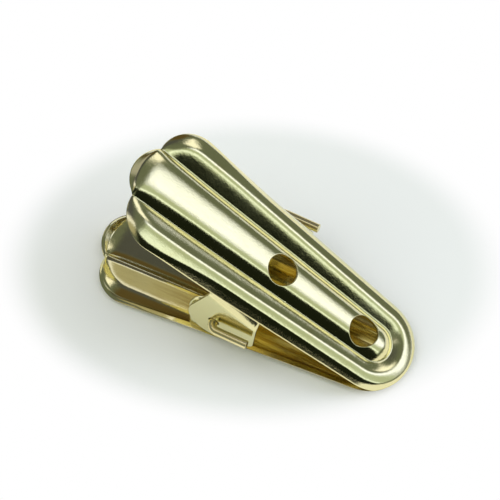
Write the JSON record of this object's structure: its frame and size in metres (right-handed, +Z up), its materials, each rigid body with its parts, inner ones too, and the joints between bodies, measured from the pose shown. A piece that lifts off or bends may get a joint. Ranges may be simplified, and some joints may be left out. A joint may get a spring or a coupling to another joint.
{
  "type": "bulldog clip",
  "caption": "Sprung ribbed bulldog clip in plated steel: stamped levers hinge on a bent wire, a torsion spring closes the rounded jaws, and holes in the upper lever take rivets.",
  "frame": {"origin": "centre of the clip's footprint, on the floor under the lower lever", "axes": "+X points from the thumb end to the jaws, +Y lies along the hinge wire and +Z is up"},
  "size_m": [0.0378, 0.0175, 0.0188],
  "materials": {
    "lever_plate": "mirror polished brass plate",
    "wire_plate": "polished brass plate",
    "spring_steel": "drawn wire"
  },
  "bodies": {
    "lower": {"lower_lever": "lever_plate", "hinge_wire": "wire_plate", "torsion_spring": "spring_steel"},
    "upper": {"upper_lever": "lever_plate"}
  },
  "joints": [
    {"name": "jaw_hinge", "type": "hinge", "parent": "lower", "child": "upper", "pos_m": [-0.00175, 0, 0.0054], "axis": [0, -1, 0], "range_deg": [0, 54], "stiffness_Nm_per_rad": 0.12, "springref_deg": -40.11, "deforming": ["torsion_spring"]}
  ]
}
